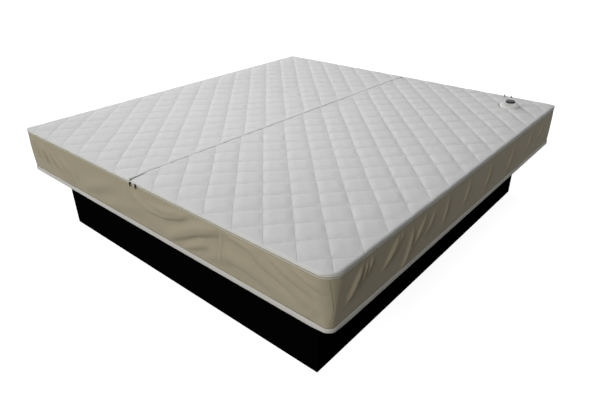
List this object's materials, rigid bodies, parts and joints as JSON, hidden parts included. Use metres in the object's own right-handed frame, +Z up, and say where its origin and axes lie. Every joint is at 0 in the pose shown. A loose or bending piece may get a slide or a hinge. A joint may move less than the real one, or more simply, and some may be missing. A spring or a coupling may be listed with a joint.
{
  "type": "waterbed",
  "caption": "Softside waterbed: water cores in a foam frame, zipped into a diamond-quilted cover with a fill valve, standing on a plain black board base.",
  "frame": {"origin": "on the floor, under the middle of the base", "axes": "+X to the side with the fill valve, +Y to the foot end, +Z up"},
  "size_m": [1.93, 2.043, 0.5777],
  "materials": {
    "black_board": "matt black laminate",
    "raw_board": "bare particle board",
    "zinc_steel": "zinc plated",
    "band_fabric": "off-white woven fabric",
    "border_fabric": "champagne satin weave",
    "quilt_fabric": "white quilted knit",
    "zip_tape": "woven tape",
    "foam": "open foam",
    "liner_vinyl": "soft vinyl film",
    "core_vinyl": "soft vinyl, filled with water",
    "heater_vinyl": "vinyl laminate",
    "valve_plastic": "moulded, white",
    "black_plastic": "moulded, black",
    "slider_metal": "dark lacquer",
    "pull_cord": "black cord",
    "seal_rubber": "soft rubber"
  },
  "bodies": {
    "bed": {"base_left_board": "black_board", "base_right_board": "black_board", "base_head_board": "black_board", "base_foot_board": "black_board", "long_divider_left": "raw_board", "long_divider_right": "raw_board", "cross_divider_head": "raw_board", "cross_divider_middle": "raw_board", "cross_divider_foot": "raw_board", "bracket_head_left": "zinc_steel", "bracket_head_right": "zinc_steel", "bracket_foot_left": "zinc_steel", "bracket_foot_right": "zinc_steel", "deck_board_1": "black_board", "deck_board_2": "black_board", "deck_board_3": "black_board", "bottom_cover": "band_fabric", "foam_underlay": "foam", "foam_wedge": "foam", "foam_rail_head": "foam", "foam_rail_foot": "foam", "foam_rail_left": "foam", "foam_rail_right": "foam", "heater_pad_left": "heater_vinyl", "heater_pad_right": "heater_vinyl", "safety_liner_left": "liner_vinyl", "safety_liner_right": "liner_vinyl", "water_core_left": "core_vinyl", "water_core_right": "core_vinyl", "border_head": "border_fabric", "border_foot": "border_fabric", "border_left": "border_fabric", "border_right": "border_fabric", "rim_zip_upper": "zip_tape", "rim_zip_lower": "zip_tape", "centre_zip_left": "zip_tape", "centre_zip_right": "zip_tape", "quilt_left": "quilt_fabric", "quilt_right": "quilt_fabric", "valve_neck": "valve_plastic", "valve_skirt": "valve_plastic", "valve_plug": "valve_plastic", "hidden_valve_neck": "valve_plastic", "hidden_valve_cap": "black_plastic"},
    "centre_slider": {"centre_slider": "slider_metal"},
    "centre_pull": {"centre_pull": "pull_cord"},
    "rim_slider_head_left": {"rim_slider_head_left": "slider_metal"},
    "rim_pull_head_left": {"rim_pull_head_left": "pull_cord"},
    "rim_slider_head_right": {"rim_slider_head_right": "slider_metal"},
    "rim_pull_head_right": {"rim_pull_head_right": "pull_cord"},
    "rim_slider_foot_left": {"rim_slider_foot_left": "slider_metal"},
    "rim_pull_foot_left": {"rim_pull_foot_left": "pull_cord"},
    "rim_slider_foot_right": {"rim_slider_foot_right": "slider_metal"},
    "rim_pull_foot_right": {"rim_pull_foot_right": "pull_cord"},
    "cap_lift": {"valve_seal": "seal_rubber"},
    "cap": {"valve_cap": "black_plastic"}
  },
  "joints": [
    {"name": "centre_zip_slide", "type": "slide", "parent": "bed", "child": "centre_slider", "axis": [0.0295, 0.9996, 0], "range_m": [0, 2.0095]},
    {"name": "centre_pull_swing", "type": "hinge", "parent": "centre_slider", "child": "centre_pull", "pos_m": [-0.04466, -1.0044, 0.5344], "axis": [0.9996, -0.0295, 0], "range_deg": [0, 178]},
    {"name": "rim_slide_head_left", "type": "slide", "parent": "bed", "child": "rim_slider_head_left", "axis": [1, 0, 0], "range_m": [-0.84, 0]},
    {"name": "rim_pull_swing_head_left", "type": "hinge", "parent": "rim_slider_head_left", "child": "rim_pull_head_left", "pos_m": [-0.047, -1.0182, 0.5247], "axis": [-1, 0, 0], "range_deg": [0, 178]},
    {"name": "rim_slide_head_right", "type": "slide", "parent": "bed", "child": "rim_slider_head_right", "axis": [1, 0, 0], "range_m": [0, 0.89]},
    {"name": "rim_pull_swing_head_right", "type": "hinge", "parent": "rim_slider_head_right", "child": "rim_pull_head_right", "pos_m": [-0.009, -1.0182, 0.5247], "axis": [-1, 0, 0], "range_deg": [0, 178]},
    {"name": "rim_slide_foot_left", "type": "slide", "parent": "bed", "child": "rim_slider_foot_left", "axis": [1, 0, 0], "range_m": [-1.56, 0]},
    {"name": "rim_pull_swing_foot_left", "type": "hinge", "parent": "rim_slider_foot_left", "child": "rim_pull_foot_left", "pos_m": [0.678, 1.0182, 0.5247], "axis": [-1, 0, 0], "range_deg": [0, 170]},
    {"name": "rim_slide_foot_right", "type": "slide", "parent": "bed", "child": "rim_slider_foot_right", "axis": [1, 0, 0], "range_m": [0, 0.17]},
    {"name": "rim_pull_swing_foot_right", "type": "hinge", "parent": "rim_slider_foot_right", "child": "rim_pull_foot_right", "pos_m": [0.716, 1.0182, 0.5247], "axis": [-1, 0, 0], "range_deg": [0, 170]},
    {"name": "cap_rise", "type": "slide", "parent": "bed", "child": "cap_lift", "axis": [0, 0, 1], "range_m": [0, 0.006]},
    {"name": "cap_turn", "type": "hinge", "parent": "cap_lift", "child": "cap", "pos_m": [0.778, 0.823, 0.5716], "axis": [0, 0, 1], "range_deg": [0, 720]}
  ],
  "couplings": [
    {"joint": "cap_rise", "follows": "cap_turn", "m_per_rad": 0.00047746}
  ]
}
